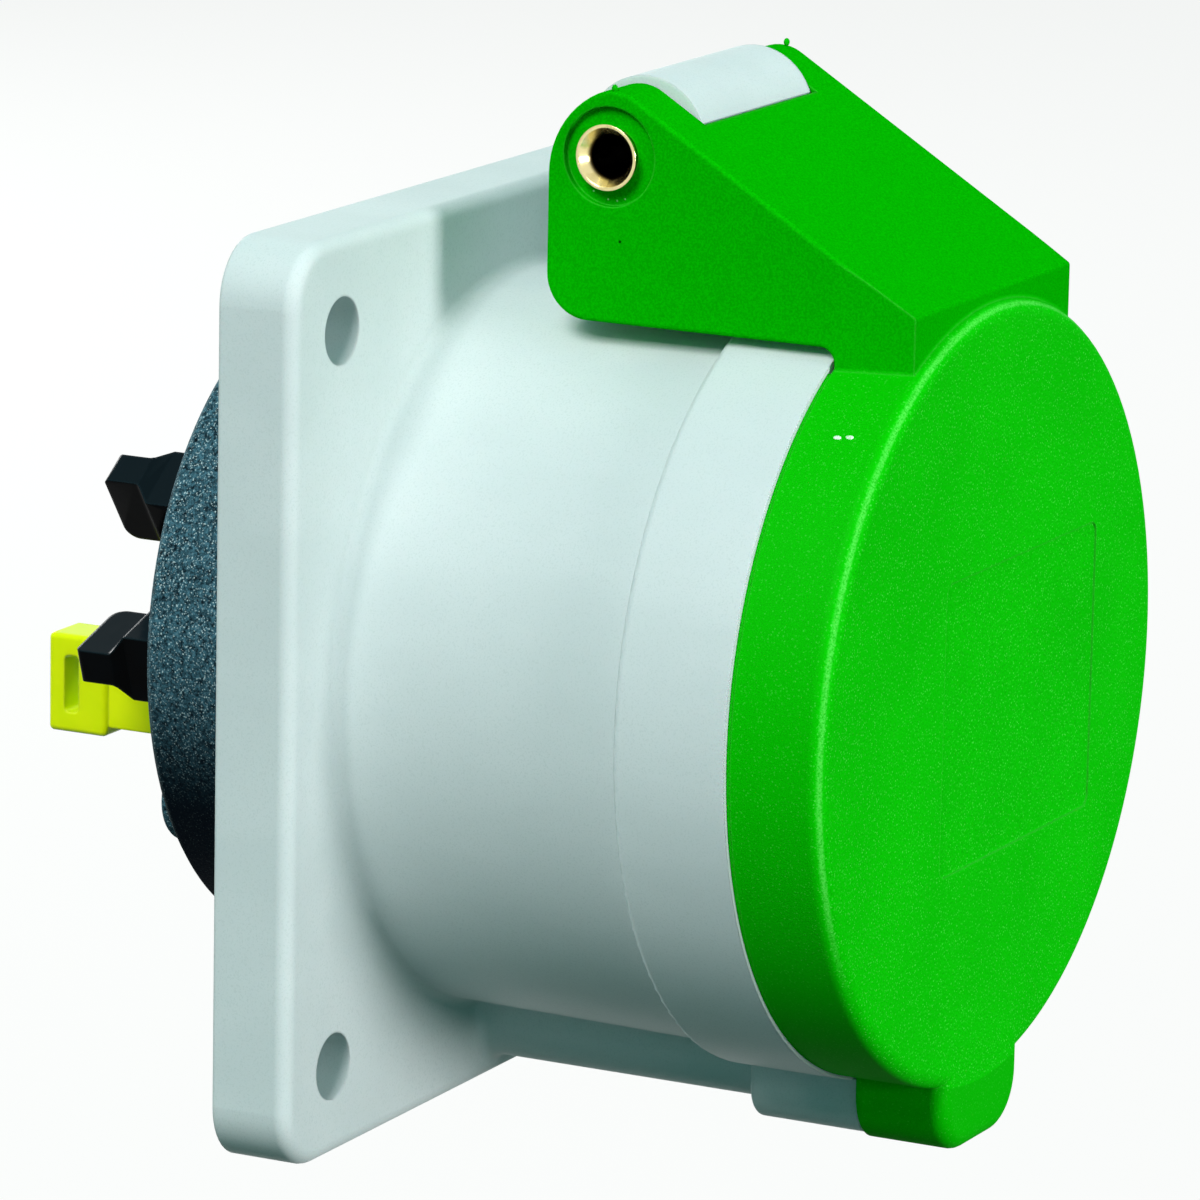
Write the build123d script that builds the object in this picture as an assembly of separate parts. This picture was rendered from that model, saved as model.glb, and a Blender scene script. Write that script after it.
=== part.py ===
from build123d import *
import math
import os

# Panel socket with a hinged, sprung lid, in millimetres.
# The origin is the centre of the flange's mounting face. +X is to the right seen from the
# front, +Y goes back into the panel, +Z is up, towards the hinge.
# A depth is measured forwards from the mounting face, so a depth d lies at y = -d, and what
# lies behind the panel has a negative depth.

# Contacts and the insert that carries them
CONTACT_COUNT = 5
EARTH_CLOCK_DEG = 180.0
CONTACT_CIRCLE_R = 15.5
LINE_PIN_R = 2.5
EARTH_PIN_R = 3.5
SLEEVE_WALL = 1.15
SLEEVE_SLOT_WIDTH = 0.7
SLEEVE_SLOT_LENGTH = 18.0
LINE_SLEEVE_INSET = 3.8
EARTH_SLEEVE_INSET = 1.8
ENTRY_HOLE_EXTRA_R = 0.8
INSERT_MARGIN = 8.3
INSERT_SETBACK = 2.2
INSERT_CHAMFER = 0.6

# Mouth, barrel and collar of the housing
PLUG_GAP = 4.4
MOUTH_WALL = 1.6
MOUTH_LIP_LENGTH = 3.0
MOUTH_CHAMFER = 0.5
BARREL_WALL = 2.3
BARREL_DRAFT = 0.5
BARREL_ROOT_FILLET = 0.9
COLLAR_WALL = 4.1
COLLAR_REAR_DEPTH = 32.4
COLLAR_LENGTH = 9.8
COLLAR_EDGE_R = 0.5
SHOULDER_LAND = 1.8
SHOULDER_REAR_DEPTH = 4.9
SHOULDER_THICKNESS = 3.1

# Keyway below the mouth, and the lobes that the housing and the lid carry round it
KEYWAY_WIDTH = 7.8
KEYWAY_DEPTH = 5.3
KEYWAY_END_DEPTH = 12.0
RIB_SIDE_WALL = 1.3
RIB_FLOOR = 2.2
RIB_CORNER_R = 3.6
RIB_ROOT_FILLET = 1.2
COLLAR_KEY_STEP = 1.1
COLLAR_KEY_CORNER_R = 3.0
LIP_KEY_WALL = 1.3
LIP_KEY_CORNER_R = 1.6
LID_KEY_SIDE_STEP = 1.0
LID_KEY_BOTTOM_STEP = 0.4
LID_KEY_CORNER_R = 4.6

# Flange
FLANGE_MARGIN = 0.7
FLANGE_THICKNESS = 6.8
FLANGE_CORNER_R = 5.0
FLANGE_EDGE_R = 1.2
HOLE_INSET = 7.5
HOLE_D = 5.5
GROOVE_STEP = 1.0
GROOVE_WIDTH = 1.6
GROOVE_DEPTH = 1.0

# Hinge
HINGE_SETBACK = 9.9
HINGE_RISE = 10.95
PIN_R = 2.2
PIN_BORE_R = 1.7
PIN_FLARE_R = 2.65
PIN_FLARE_LENGTH = 0.9
PIN_PROUD = 0.55
LUG_HALF_WIDTH = 9.85
LUG_TOP_R = 5.3
LUG_OFFSET_Y = -0.5
LUG_OFFSET_Z = 0.55
LUG_NECK_BEHIND = 4.7
LUG_NECK_AHEAD = 5.4
LUG_CHEEK = 3.3
LUG_POCKET_R = 4.0
LUG_POCKET_FLOOR = 1.1

# Lid
LID_SETBACK = 0.3
LID_REAR_GAP = 0.3
LID_DEPTH = 7.9
LID_RIM_WALL = 1.2
LID_FACE_THICKNESS = 1.8
LID_FRONT_EDGE_R = 1.3
LABEL_WIDTH = 29.2
LABEL_HEIGHT = 24.0
LABEL_CORNER_R = 1.0
LABEL_CENTRE_X = 4.9
LABEL_CENTRE_Z = -1.2
LABEL_DEPTH = 0.15
EAR_GAP = 0.35
EAR_THICKNESS = 5.05
EAR_BEHIND_PIN = 5.45
EAR_BOTTOM_STEP = 2.4
EAR_TOP_R = 7.35
EAR_TOP_DROP = 1.75
EAR_BOTTOM_R = 3.6
EAR_ROOT_R = 1.3
EAR_RECESS_R = 4.0
EAR_RECESS_DEPTH = 0.6
HOOD_APEX_AHEAD = 0.8
HOOD_APEX_RISE = 5.52
HOOD_FRONT_STEP = 1.1
HOOD_FRONT_RISE = 0.9
HOOD_TAPER = 0.55
HOOD_PLATE = 1.8
HOOD_EDGE_R = 0.35
HOOD_APEX_R = 3.5
LEDGE_HALF_WIDTH = 7.0
LEDGE_RISE = 1.7
LEDGE_LENGTH = 3.2
LEDGE_THICKNESS = 1.3

# Lid seal
SEAL_LAP = 1.0
SEAL_SIDE_GAP = 0.5

# Lid spring
SPRING_WIRE_R = 0.45
SPRING_COIL_R = 2.95
SPRING_PITCH = 1.5
SPRING_WHOLE_TURNS = 5
SPRING_TIP_INSET = 1.2
SPRING_SEAT_GAP = 0.1
SPRING_ANCHOR_DEPTH = 1.2

# Terminal block behind the insert
BLOCK_MARGIN = 3.2
BLOCK_WALL = 3.2
BLOCK_REAR_Y = 12.7
BLOCK_CHAMFER = 0.4
POCKET_INNER_STEP = 2.1
POCKET_HALF_WIDTH = 4.0
POCKET_ROOF = 4.7
WIRE_HOLE_R = 3.0
WIRE_HOLE_STEP = 3.0
WIRE_HOLE_CHAMFER = 0.7
TAIL_THICKNESS = 1.2
TAIL_HALF_WIDTH = 3.0
TAIL_SIDE_GAP = 0.9
TAIL_TOP_GAP = 2.5
TAIL_SETBACK = 0.3
RIVET_R = 1.8
RIVET_OFFSET = 0.4
CLAMP_THICKNESS = 0.5
CLAMP_HALF_WIDTH = 2.8
CLAMP_STAND_OFF = 0.9
CLAMP_TONGUE_GAP = 0.6
CLAMP_TOP_GAP = 1.2
CLAMP_BEND_LENGTH = 1.3
CLAMP_TIP_Y = 1.6

# Boss and screw through the block into the insert
SCREW_INSET = 8.7
SCREW_CLOCK_DEGS = (0.0, 144.0, 216.0)
BOSS_R = 3.9
BOSS_HEIGHT = 5.9
BOSS_EDGE_R = 0.8
SCREW_SHANK_R = 1.5
SCREW_HEAD_R = 2.9
SCREW_HEAD_HEIGHT = 2.0
SCREW_SEAT_DEPTH = 2.6
SCREW_GRIP = 8.0
SCREW_RECESS_WIDTH = 0.9
SCREW_RECESS_LENGTH = 3.6

# Release slides of the terminals
SLIDE_TRAVEL = 8.0
SLIDE_SEAT_DEPTH = 1.0
SLIDE_EDGE_R = 0.45
LINE_SLIDE_REACH = 14.3
LINE_SLIDE_LAP = 0.9
LINE_SLIDE_HEIGHT = 7.0
LINE_HEAD_LENGTH = 3.3
LINE_HEAD_THICKNESS = 3.0
LINE_HEAD_OVERHANG = 0.55
LINE_HEAD_INNER_R = 1.3
LINE_STEM_THICKNESS = 6.0
LINE_FLARE_LENGTH = 1.25
LINE_FLARE_R = 0.7
EARTH_SLIDE_REACH = 23.95
EARTH_SLIDE_HEIGHT = 8.55
EARTH_SLIDE_INSET = 0.85
EARTH_HEAD_OVERHANG = 0.8
EARTH_HEAD_LENGTH = 5.65
EARTH_HEAD_THICKNESS = 4.8
EARTH_STEM_THICKNESS = 3.8
EARTH_WINDOW_LENGTH = 1.4
EARTH_WINDOW_HEIGHT = 5.0
EARTH_WINDOW_BACK = 1.6
EARTH_WINDOW_CORNER_R = 0.45

# Clearances
FLAT_GAP = 0.3
RUNNING_GAP = 0.05
FIXED_GAP = 0.02
OVERRUN = 1.0

# Radii worked out from the contact circle outwards
INSERT_R = CONTACT_CIRCLE_R + INSERT_MARGIN
SHOULDER_R = INSERT_R - SHOULDER_LAND
MOUTH_R = INSERT_R + PLUG_GAP
BARREL_ROOT_R = MOUTH_R + BARREL_WALL
BARREL_FRONT_R = BARREL_ROOT_R + BARREL_DRAFT
GROOVE_R = BARREL_ROOT_R + GROOVE_STEP
COLLAR_R = MOUTH_R + COLLAR_WALL
LID_R = COLLAR_R - LID_SETBACK
SEAL_INNER_R = MOUTH_R - SEAL_LAP
SEAL_OUTER_R = LID_R - LID_RIM_WALL - SEAL_SIDE_GAP
BLOCK_R = INSERT_R + BLOCK_MARGIN
SCREW_CIRCLE_R = BLOCK_R - SCREW_INSET
POCKET_INNER_R = CONTACT_CIRCLE_R - POCKET_INNER_STEP
POCKET_OUTER_R = BLOCK_R - BLOCK_WALL
TAIL_OUTER_R = POCKET_OUTER_R - TAIL_SIDE_GAP
WIRE_HOLE_CIRCLE_R = CONTACT_CIRCLE_R + WIRE_HOLE_STEP
LINE_SLIDE_OUTER_R = POCKET_INNER_R + LINE_SLIDE_LAP
LINE_SLIDE_INNER_R = LINE_SLIDE_OUTER_R - LINE_SLIDE_HEIGHT
EARTH_SLIDE_OUTER_R = LINE_SLIDE_OUTER_R - EARTH_SLIDE_INSET
EARTH_SLIDE_INNER_R = EARTH_SLIDE_OUTER_R - EARTH_SLIDE_HEIGHT

# Lobes round the keyway and the flange that stands just outside them
KEYWAY_BOTTOM = MOUTH_R + KEYWAY_DEPTH
RIB_HALF_WIDTH = KEYWAY_WIDTH / 2 + RIB_SIDE_WALL
RIB_BOTTOM = KEYWAY_BOTTOM + RIB_FLOOR
COLLAR_KEY_HALF_WIDTH = RIB_HALF_WIDTH + COLLAR_KEY_STEP
COLLAR_KEY_BOTTOM = RIB_BOTTOM + COLLAR_KEY_STEP
LID_KEY_HALF_WIDTH = COLLAR_KEY_HALF_WIDTH + LID_KEY_SIDE_STEP
LID_KEY_BOTTOM = COLLAR_KEY_BOTTOM + LID_KEY_BOTTOM_STEP
FLANGE_SIDE = 2 * (COLLAR_KEY_BOTTOM + FLANGE_MARGIN)
HOLE_SPACING = FLANGE_SIDE - 2 * HOLE_INSET

# Depths in front of the mounting face
COLLAR_FRONT_DEPTH = COLLAR_REAR_DEPTH + COLLAR_LENGTH
LIP_FRONT_DEPTH = COLLAR_FRONT_DEPTH + MOUTH_LIP_LENGTH
LID_REAR_DEPTH = COLLAR_FRONT_DEPTH + LID_REAR_GAP
LID_FRONT_DEPTH = LID_REAR_DEPTH + LID_DEPTH
LID_INNER_DEPTH = LID_FRONT_DEPTH - LID_FACE_THICKNESS
SHOULDER_FRONT_DEPTH = SHOULDER_REAR_DEPTH + SHOULDER_THICKNESS
INSERT_FRONT_DEPTH = COLLAR_FRONT_DEPTH - INSERT_SETBACK
HOOD_FRONT_DEPTH = LID_FRONT_DEPTH - HOOD_FRONT_STEP

# Places round the hinge pin
PIN_Y = HINGE_SETBACK - COLLAR_REAR_DEPTH
PIN_Z = COLLAR_R + HINGE_RISE
LUG_NECK_REAR_Y = PIN_Y + LUG_NECK_BEHIND
LUG_NECK_FRONT_Y = PIN_Y - LUG_NECK_AHEAD
LUG_POCKET_FLOOR_Z = COLLAR_R + LUG_POCKET_FLOOR
EAR_INNER_X = LUG_HALF_WIDTH + EAR_GAP
EAR_OUTER_X = EAR_INNER_X + EAR_THICKNESS
EAR_REAR_Y = PIN_Y + EAR_BEHIND_PIN
EAR_BOTTOM_Z = COLLAR_R - EAR_BOTTOM_STEP
EAR_TOP_CENTRE_Z = PIN_Z - EAR_TOP_DROP
HOOD_APEX_Y = PIN_Y - HOOD_APEX_AHEAD
HOOD_APEX_Z = PIN_Z + HOOD_APEX_RISE
HOOD_FRONT_Z = LID_R + HOOD_FRONT_RISE
HOOD_FRONT_HALF_WIDTH = EAR_OUTER_X - HOOD_TAPER
LEDGE_TOP_Z = HOOD_FRONT_Z + LEDGE_RISE

# Stations behind the mounting face
POCKET_TOP_Y = BLOCK_REAR_Y - POCKET_ROOF
TAIL_TOP_Y = POCKET_TOP_Y - TAIL_TOP_GAP
LINE_SLIDE_REAR_Y = BLOCK_REAR_Y + LINE_SLIDE_REACH
EARTH_SLIDE_REAR_Y = BLOCK_REAR_Y + EARTH_SLIDE_REACH
SLIDE_STEM_END_Y = SLIDE_TRAVEL - SLIDE_SEAT_DEPTH

# The five terminals, clockwise from the earth seen from the front
CLOCK_DEGS = [EARTH_CLOCK_DEG + 360.0 / CONTACT_COUNT * i for i in range(CONTACT_COUNT)]
CONTACT_NAMES = ["pe", "l1", "l2", "l3", "n"]
EARTH_NAME = CONTACT_NAMES[0]


def front_plane(depth):
    """Plane across the socket's axis at a depth, looking forwards, with local Y up."""
    return Plane.XZ.offset(depth)


def slab(sketch, depth_from, depth_to):
    """Extrude a sketch across the axis between two depths."""
    return extrude(front_plane(depth_from) * sketch, depth_to - depth_from)


def disc(radius, depth_from, depth_to):
    """Round plate or cylinder on the socket's axis between two depths."""
    return slab(Circle(radius), depth_from, depth_to)


def clock_point(radius, degrees):
    """Place on a circle about the axis, clockwise from the top seen from the front."""
    angle = math.radians(degrees)
    return radius * math.sin(angle), radius * math.cos(angle)


def clocked(shape, degrees):
    """Turn a shape made at the top of the circle to its place on the clock."""
    return Rot(0, degrees, 0) * shape


def key_lobe(half_width, bottom, corner_r):
    """Sketch of the lobe below the axis that leaves room for the plug's key."""
    lobe = Pos(0, -bottom / 2) * Rectangle(2 * half_width, bottom)
    return fillet(lobe.vertices().sort_by(Axis.Y)[:2], corner_r)


def side_slab(sketch, half_width):
    """Extrude a side view, drawn in Y and Z, to both sides of the middle plane."""
    return extrude(Plane.YZ * sketch, half_width, both=True)


def cross_rod(radius, half_length):
    """Round rod about the hinge's axis, centred on the middle plane."""
    return side_slab(Pos(PIN_Y, PIN_Z) * Circle(radius), half_length)


def flared_mouth(radius, depth, size, outward):
    """Cone that eases the edge of a round hole on the axis, opening forwards or backwards."""
    cone = Cone(radius, radius + size, size, align=(Align.CENTER, Align.CENTER, Align.MIN))
    if outward:
        return front_plane(depth - size) * cone
    return front_plane(depth + size) * Rot(180, 0, 0) * cone


def pin_flare():
    """Outside of one flared end of the hinge pin, as a cone on the right-hand side."""
    start = EAR_OUTER_X + PIN_PROUD - PIN_FLARE_LENGTH
    cone = Cone(PIN_R, PIN_FLARE_R, PIN_FLARE_LENGTH, align=(Align.CENTER, Align.CENTER, Align.MIN))
    return Pos(start, PIN_Y, PIN_Z) * Rot(0, 90, 0) * cone


def flange():
    """Square mounting plate with rounded corners, a soft front edge and four holes."""
    plate = slab(RectangleRounded(FLANGE_SIDE, FLANGE_SIDE, FLANGE_CORNER_R), 0, FLANGE_THICKNESS)
    front = plate.faces().sort_by(Axis.Y)[0]
    plate = fillet(front.edges(), FLANGE_EDGE_R)
    holes = Sketch() + GridLocations(HOLE_SPACING, HOLE_SPACING, 2, 2) * Circle(HOLE_D / 2)
    return plate - slab(holes, -OVERRUN, FLANGE_THICKNESS + OVERRUN)


def barrel():
    """Outside of the barrel, with its draft and the rib round the keyway."""
    cone = Cone(BARREL_ROOT_R, BARREL_FRONT_R, COLLAR_REAR_DEPTH,
                align=(Align.CENTER, Align.CENTER, Align.MIN))
    rib = slab(key_lobe(RIB_HALF_WIDTH, RIB_BOTTOM, RIB_CORNER_R), 0, COLLAR_REAR_DEPTH)
    return front_plane(0) * cone + rib


def collar():
    """Thick collar in front of the barrel, and the thin lip that the lid's seal meets."""
    ring = Circle(COLLAR_R) + key_lobe(COLLAR_KEY_HALF_WIDTH, COLLAR_KEY_BOTTOM, COLLAR_KEY_CORNER_R)
    band = slab(ring, COLLAR_REAR_DEPTH, COLLAR_FRONT_DEPTH)
    rear = band.faces().sort_by(Axis.Y)[-1]
    band = fillet(rear.edges(), COLLAR_EDGE_R)
    lip_key = key_lobe(KEYWAY_WIDTH / 2 + LIP_KEY_WALL, KEYWAY_BOTTOM + LIP_KEY_WALL, LIP_KEY_CORNER_R)
    lip = slab(Circle(MOUTH_R + MOUTH_WALL) + lip_key, COLLAR_FRONT_DEPTH, LIP_FRONT_DEPTH)
    return band + lip


def lug_outline():
    """Side view of the hinge lug: a round head on a neck that runs down into the barrel."""
    head = Pos(PIN_Y + LUG_OFFSET_Y, PIN_Z + LUG_OFFSET_Z) * Circle(LUG_TOP_R)
    neck_height = PIN_Z + LUG_OFFSET_Z - MOUTH_R
    neck_centre_y = (LUG_NECK_REAR_Y + LUG_NECK_FRONT_Y) / 2
    neck = Rectangle(LUG_NECK_REAR_Y - LUG_NECK_FRONT_Y, neck_height)
    return head + Pos(neck_centre_y, MOUTH_R + neck_height / 2) * neck


def lug_pocket():
    """Room for the spring inside the lug, open to the front under the lid's hood."""
    rear_y = PIN_Y + LUG_POCKET_R
    front_y = LUG_NECK_FRONT_Y - OVERRUN
    height = PIN_Z - LUG_POCKET_FLOOR_Z
    room = Pos((rear_y + front_y) / 2, PIN_Z - height / 2) * Rectangle(rear_y - front_y, height)
    return side_slab(Pos(PIN_Y, PIN_Z) * Circle(LUG_POCKET_R) + room, LUG_HALF_WIDTH - LUG_CHEEK)


def rib_creases(body):
    """Two inner edges where the sides of the keyway's rib meet the round barrel."""
    lines = [e for e in body.edges() if e.length > COLLAR_REAR_DEPTH / 2]
    creases = [e for e in lines if e.center().Z < -BARREL_ROOT_R / 2]
    return [e for e in creases if abs(abs(e.center().X) - RIB_HALF_WIDTH) < FIXED_GAP]


def root_edges(body):
    """Edges of the barrel and its rib where they stand on the flange's front face."""
    front = [f for f in body.faces().filter_by(Axis.Y) if abs(f.center().Y + FLANGE_THICKNESS) < FIXED_GAP]
    widest = max(front, key=lambda face: face.area)
    loops = [w for w in widest.inner_wires() if w.length > math.pi * BARREL_ROOT_R]
    return loops[0].edges()


def housing():
    """Grey moulding: flange, barrel, collar, lip, keyway and hinge lug in one piece."""
    body = flange() + barrel()
    body = fillet(rib_creases(body), RIB_ROOT_FILLET)
    body = fillet(root_edges(body), BARREL_ROOT_FILLET)
    body += collar() + side_slab(lug_outline(), LUG_HALF_WIDTH)
    keyway = Pos(0, -KEYWAY_BOTTOM / 2) * Rectangle(KEYWAY_WIDTH, KEYWAY_BOTTOM)
    body -= slab(keyway, KEYWAY_END_DEPTH, LIP_FRONT_DEPTH + OVERRUN)
    body -= disc(MOUTH_R, SHOULDER_FRONT_DEPTH, LIP_FRONT_DEPTH + OVERRUN)
    body -= flared_mouth(MOUTH_R, LIP_FRONT_DEPTH, MOUTH_CHAMFER, True)
    body -= disc(SHOULDER_R, -OVERRUN, LIP_FRONT_DEPTH)
    body -= disc(BLOCK_R + FLAT_GAP, -OVERRUN, SHOULDER_REAR_DEPTH)
    groove = Circle(GROOVE_R + GROOVE_WIDTH / 2) - Circle(GROOVE_R - GROOVE_WIDTH / 2)
    body -= slab(groove, -OVERRUN, GROOVE_DEPTH)
    body -= lug_pocket() + spring_anchor()
    body -= cross_rod(PIN_R + FIXED_GAP, EAR_OUTER_X)
    return body


def hood_outline():
    """Side view of the lid's hood and ears, with the round ear behind the sloping top."""
    front_y = -HOOD_FRONT_DEPTH
    rim_y = -LID_REAR_DEPTH
    centre_y = EAR_REAR_Y - EAR_TOP_R
    apex = (HOOD_APEX_Y, HOOD_APEX_Z)
    rise = math.degrees(math.atan2(HOOD_APEX_Z - EAR_TOP_CENTRE_Z, HOOD_APEX_Y - centre_y))
    middle_angle = math.radians(rise / 2)
    middle = (centre_y + EAR_TOP_R * math.cos(middle_angle),
              EAR_TOP_CENTRE_Z + EAR_TOP_R * math.sin(middle_angle))
    inside_z = MOUTH_R - OVERRUN
    outline = [
        Polyline((EAR_REAR_Y, EAR_TOP_CENTRE_Z), (EAR_REAR_Y, EAR_BOTTOM_Z), (rim_y, EAR_BOTTOM_Z),
                 (rim_y, inside_z), (front_y, inside_z), (front_y, HOOD_FRONT_Z), apex),
        ThreePointArc(apex, middle, (EAR_REAR_Y, EAR_TOP_CENTRE_Z)),
    ]
    face = make_face(Curve() + outline)
    for corner, radius in ((apex, HOOD_APEX_R), ((EAR_REAR_Y, EAR_BOTTOM_Z), EAR_BOTTOM_R),
                           ((rim_y, EAR_BOTTOM_Z), EAR_ROOT_R)):
        face = fillet(face.vertices().sort_by_distance(corner)[0], radius)
    return face


def hood_plan():
    """Plan view of the hood in X and Y, narrowing from the rim to its front."""
    rim_y = -LID_REAR_DEPTH
    side = [(EAR_OUTER_X, EAR_REAR_Y + OVERRUN), (EAR_OUTER_X, rim_y),
            (HOOD_FRONT_HALF_WIDTH, -HOOD_FRONT_DEPTH - OVERRUN)]
    mirrored = [(-x, y) for x, y in reversed(side)]
    return make_face(Polyline(*side, *mirrored, close=True))


def hood_hollow():
    """Room between the ears, under the sloping plate and behind the rim."""
    slope = (HOOD_APEX_Z - HOOD_FRONT_Z) / (HOOD_APEX_Y + HOOD_FRONT_DEPTH)
    drop = HOOD_PLATE * math.hypot(1.0, slope)
    rim_y = -LID_REAR_DEPTH
    rear_y = EAR_REAR_Y + OVERRUN
    plate_z = HOOD_APEX_Z - drop

    def under_plate(y):
        return plate_z + slope * (y - HOOD_APEX_Y)

    floor_z = MOUTH_R
    outline = Polyline((rim_y, floor_z), (rim_y, under_plate(rim_y)), (rear_y, under_plate(rear_y)),
                       (rear_y, floor_z), close=True)
    return side_slab(make_face(outline), EAR_INNER_X)


def lug_sweep():
    """Room for the lug's head, round the pin, so that the lid swings clear of it."""
    reach = LUG_TOP_R + math.hypot(LUG_OFFSET_Y, LUG_OFFSET_Z) + FLAT_GAP
    height = HOOD_APEX_Z - PIN_Z + 2 * OVERRUN
    width = EAR_REAR_Y + OVERRUN - PIN_Y
    behind = Pos(PIN_Y + width / 2, PIN_Z + height / 2) * Rectangle(width, height)
    return side_slab(Pos(PIN_Y, PIN_Z) * Circle(reach) + behind, EAR_INNER_X)


def spring_ledge():
    """Small shelf under the hood, behind the rim, that the spring's long leg presses on."""
    rear_y = -LID_REAR_DEPTH + LEDGE_LENGTH
    centre = Pos((rear_y - LID_REAR_DEPTH - OVERRUN) / 2, LEDGE_TOP_Z - LEDGE_THICKNESS / 2)
    return side_slab(centre * Rectangle(LEDGE_LENGTH + OVERRUN, LEDGE_THICKNESS), LEDGE_HALF_WIDTH)


def lid_cap():
    """Round face with its rim and the lobe over the keyway, and a soft front edge."""
    outline = Circle(LID_R) + key_lobe(LID_KEY_HALF_WIDTH, LID_KEY_BOTTOM, LID_KEY_CORNER_R)
    cap = slab(outline, LID_REAR_DEPTH, LID_FRONT_DEPTH)
    front = cap.faces().sort_by(Axis.Y)[0]
    return fillet(front.edges(), LID_FRONT_EDGE_R)


def hood_block():
    """Solid outside of the hood and its ears, with softened edges."""
    block = side_slab(hood_outline(), EAR_OUTER_X)
    block = fillet(block.faces().filter_by(Axis.X).edges(), HOOD_EDGE_R)
    block = block & extrude(Plane.XY * hood_plan(), 2 * LID_R)
    across = block.edges().filter_by(Axis.X)
    front_top = Vector(0, -HOOD_FRONT_DEPTH, HOOD_FRONT_Z)
    return fillet(across.sort_by_distance(front_top)[0], HOOD_EDGE_R)


def lid():
    """Green moulding: cap, hood and the two ears that swing on the hinge pin."""
    hood = hood_block() - disc(COLLAR_R + FLAT_GAP, 0, LID_REAR_DEPTH)
    body = lid_cap() + hood
    body -= hood_hollow() + lug_sweep()
    body += spring_ledge()
    inner_key = key_lobe(LID_KEY_HALF_WIDTH - LID_RIM_WALL, LID_KEY_BOTTOM - LID_RIM_WALL,
                         LID_KEY_CORNER_R - LID_RIM_WALL)
    body -= slab(Circle(LID_R - LID_RIM_WALL) + inner_key, LID_REAR_DEPTH - LID_REAR_GAP, LID_INNER_DEPTH)
    label = RectangleRounded(LABEL_WIDTH, LABEL_HEIGHT, LABEL_CORNER_R)
    label = Pos(LABEL_CENTRE_X, LABEL_CENTRE_Z) * label
    body -= slab(label, LID_FRONT_DEPTH - LABEL_DEPTH, LID_FRONT_DEPTH + OVERRUN)
    body -= cross_rod(PIN_R + RUNNING_GAP, EAR_OUTER_X + OVERRUN)
    recess = cross_rod(EAR_RECESS_R, EAR_OUTER_X + OVERRUN)
    body -= recess - cross_rod(EAR_RECESS_R + OVERRUN, EAR_OUTER_X - EAR_RECESS_DEPTH)
    return body


def lid_seal():
    """Soft ring inside the lid that closes on the front of the mouth's lip."""
    ring = Circle(SEAL_OUTER_R) - Circle(SEAL_INNER_R)
    return slab(ring, LIP_FRONT_DEPTH + FLAT_GAP, LID_INNER_DEPTH)


def hinge_pin():
    """Hollow brass pin, flared outwards at both ends like an eyelet."""
    half_length = EAR_OUTER_X + PIN_PROUD
    flare = pin_flare()
    tube = cross_rod(PIN_R, half_length) + flare + mirror(flare, Plane.YZ)
    wall = PIN_R - PIN_BORE_R
    mouth = Cone(PIN_BORE_R, PIN_FLARE_R - wall / 2, PIN_FLARE_LENGTH,
                 align=(Align.CENTER, Align.CENTER, Align.MIN))
    mouth = Pos(half_length - PIN_FLARE_LENGTH, PIN_Y, PIN_Z) * Rot(0, 90, 0) * mouth
    return tube - cross_rod(PIN_BORE_R, half_length) - mouth - mirror(mouth, Plane.YZ)


def spring_leg(start, direction, length):
    """Straight leg that leaves a coil's end along its tangent."""
    rod = Cylinder(SPRING_WIRE_R, length, align=(Align.CENTER, Align.CENTER, Align.MIN))
    return Plane(start, z_dir=direction).location * rod


def spring_angles():
    """Angles about the pin where the coil starts and ends, and the long leg's length.

    The long leg leaves the coil's underside along a tangent that ends on the ledge. The
    short one leaves its front straight down. Angles run from the underside to the rear.
    """
    tip_y = -LID_REAR_DEPTH + SPRING_TIP_INSET - PIN_Y
    tip_z = LEDGE_TOP_Z + SPRING_SEAT_GAP + SPRING_WIRE_R - PIN_Z
    length = math.sqrt(tip_y ** 2 + tip_z ** 2 - SPRING_COIL_R ** 2)
    start = math.atan2(tip_z, tip_y) - math.atan2(-SPRING_COIL_R, -length)
    start_deg = math.degrees(start) % 360
    return start_deg, 270.0 + 360.0 * SPRING_WHOLE_TURNS, length


def lid_spring():
    """Torsion spring round the pin: coils, a short leg in the lug and a long one on the ledge."""
    start_deg, end_deg, lid_leg_length = spring_angles()
    coil_length = SPRING_PITCH * (end_deg - start_deg) / 360
    lug_leg_length = PIN_Z - LUG_POCKET_FLOOR_Z + SPRING_ANCHOR_DEPTH - FLAT_GAP
    helix = Helix(SPRING_PITCH, coil_length, SPRING_COIL_R)
    section = Plane(helix @ 0, z_dir=helix % 0) * Circle(SPRING_WIRE_R)
    wire = sweep(section, path=helix)
    wire += spring_leg(helix @ 0, -(helix % 0), lid_leg_length)
    wire += spring_leg(helix @ 1, helix % 1, lug_leg_length)
    centred = Rot(0, 0, start_deg) * Pos(0, 0, -coil_length / 2) * wire
    return Pos(0, PIN_Y, PIN_Z) * Rot(0, 90, 0) * centred


def spring_anchor():
    """Hole in the floor of the lug's pocket that holds the spring's short leg."""
    floor = Pos(PIN_Y - SPRING_COIL_R, LUG_POCKET_FLOOR_Z - SPRING_ANCHOR_DEPTH / 2)
    slot = Rectangle(2 * (SPRING_WIRE_R + FLAT_GAP), SPRING_ANCHOR_DEPTH + OVERRUN)
    return side_slab(floor * slot, LUG_HALF_WIDTH - LUG_CHEEK)


def pin_radius(name):
    """Radius of the plug's pin that a contact takes: the earth pin is the thick one."""
    return EARTH_PIN_R if name == EARTH_NAME else LINE_PIN_R


def sleeve_front(name):
    """Depth of a contact sleeve's front: the earth sleeve reaches further, to meet first."""
    inset = EARTH_SLEEVE_INSET if name == EARTH_NAME else LINE_SLEEVE_INSET
    return INSERT_FRONT_DEPTH - inset


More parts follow.
